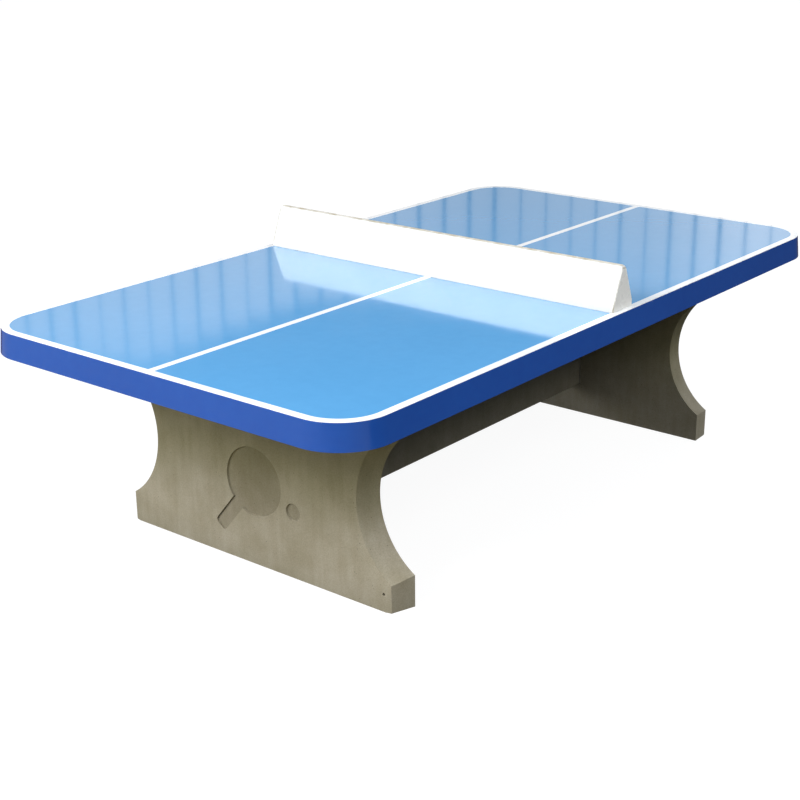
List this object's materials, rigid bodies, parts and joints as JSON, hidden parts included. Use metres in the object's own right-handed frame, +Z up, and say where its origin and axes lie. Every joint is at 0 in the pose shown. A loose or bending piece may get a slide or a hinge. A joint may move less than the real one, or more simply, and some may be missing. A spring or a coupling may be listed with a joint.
{
  "type": "outdoor ping pong table",
  "caption": "Outdoor ping pong table: coated concrete slab with rounded corners and white lines, solid wedge net, two waisted concrete legs and a deep beam between them.",
  "frame": {"origin": "on the floor, under the middle of the table", "axes": "+X along the table, +Y across it along the net, +Z up"},
  "size_m": [2.756, 1.541, 0.906],
  "materials": {
    "blue_skin": "glossy cast gelcoat",
    "white_line": "glossy, flush with the skin",
    "white_net": "glossy white polymer concrete",
    "concrete": "smooth precast, matt",
    "mortar": "struck flush, matt",
    "bar_steel": "mill scale with light rust",
    "bolt_steel": "galvanised",
    "insert_brass": "turned",
    "seal_rubber": "matt",
    "sleeve_plastic": "moulded",
    "cap_plastic": "moulded, satin"
  },
  "bodies": {
    "root": {"top_skin": "blue_skin", "border_line": "white_line", "centre_line": "white_line", "top_slab": "concrete", "slab_long_bars": "bar_steel", "slab_cross_bars": "bar_steel", "net": "white_net", "net_seal": "seal_rubber", "net_inserts": "insert_brass", "net_sleeves": "sleeve_plastic", "net_bolts": "bolt_steel", "net_washers": "bolt_steel", "leg_left": "concrete", "leg_right": "concrete", "leg_left_bars": "bar_steel", "leg_right_bars": "bar_steel", "beam": "concrete", "beam_bars": "bar_steel", "beam_dowels": "bolt_steel", "beam_sleeves": "sleeve_plastic", "beam_joints": "mortar", "top_dowels": "bolt_steel", "dowel_sleeves": "sleeve_plastic", "bearing_pads": "seal_rubber", "lifting_sockets": "bolt_steel", "socket_caps": "cap_plastic"}
  },
  "joints": []
}
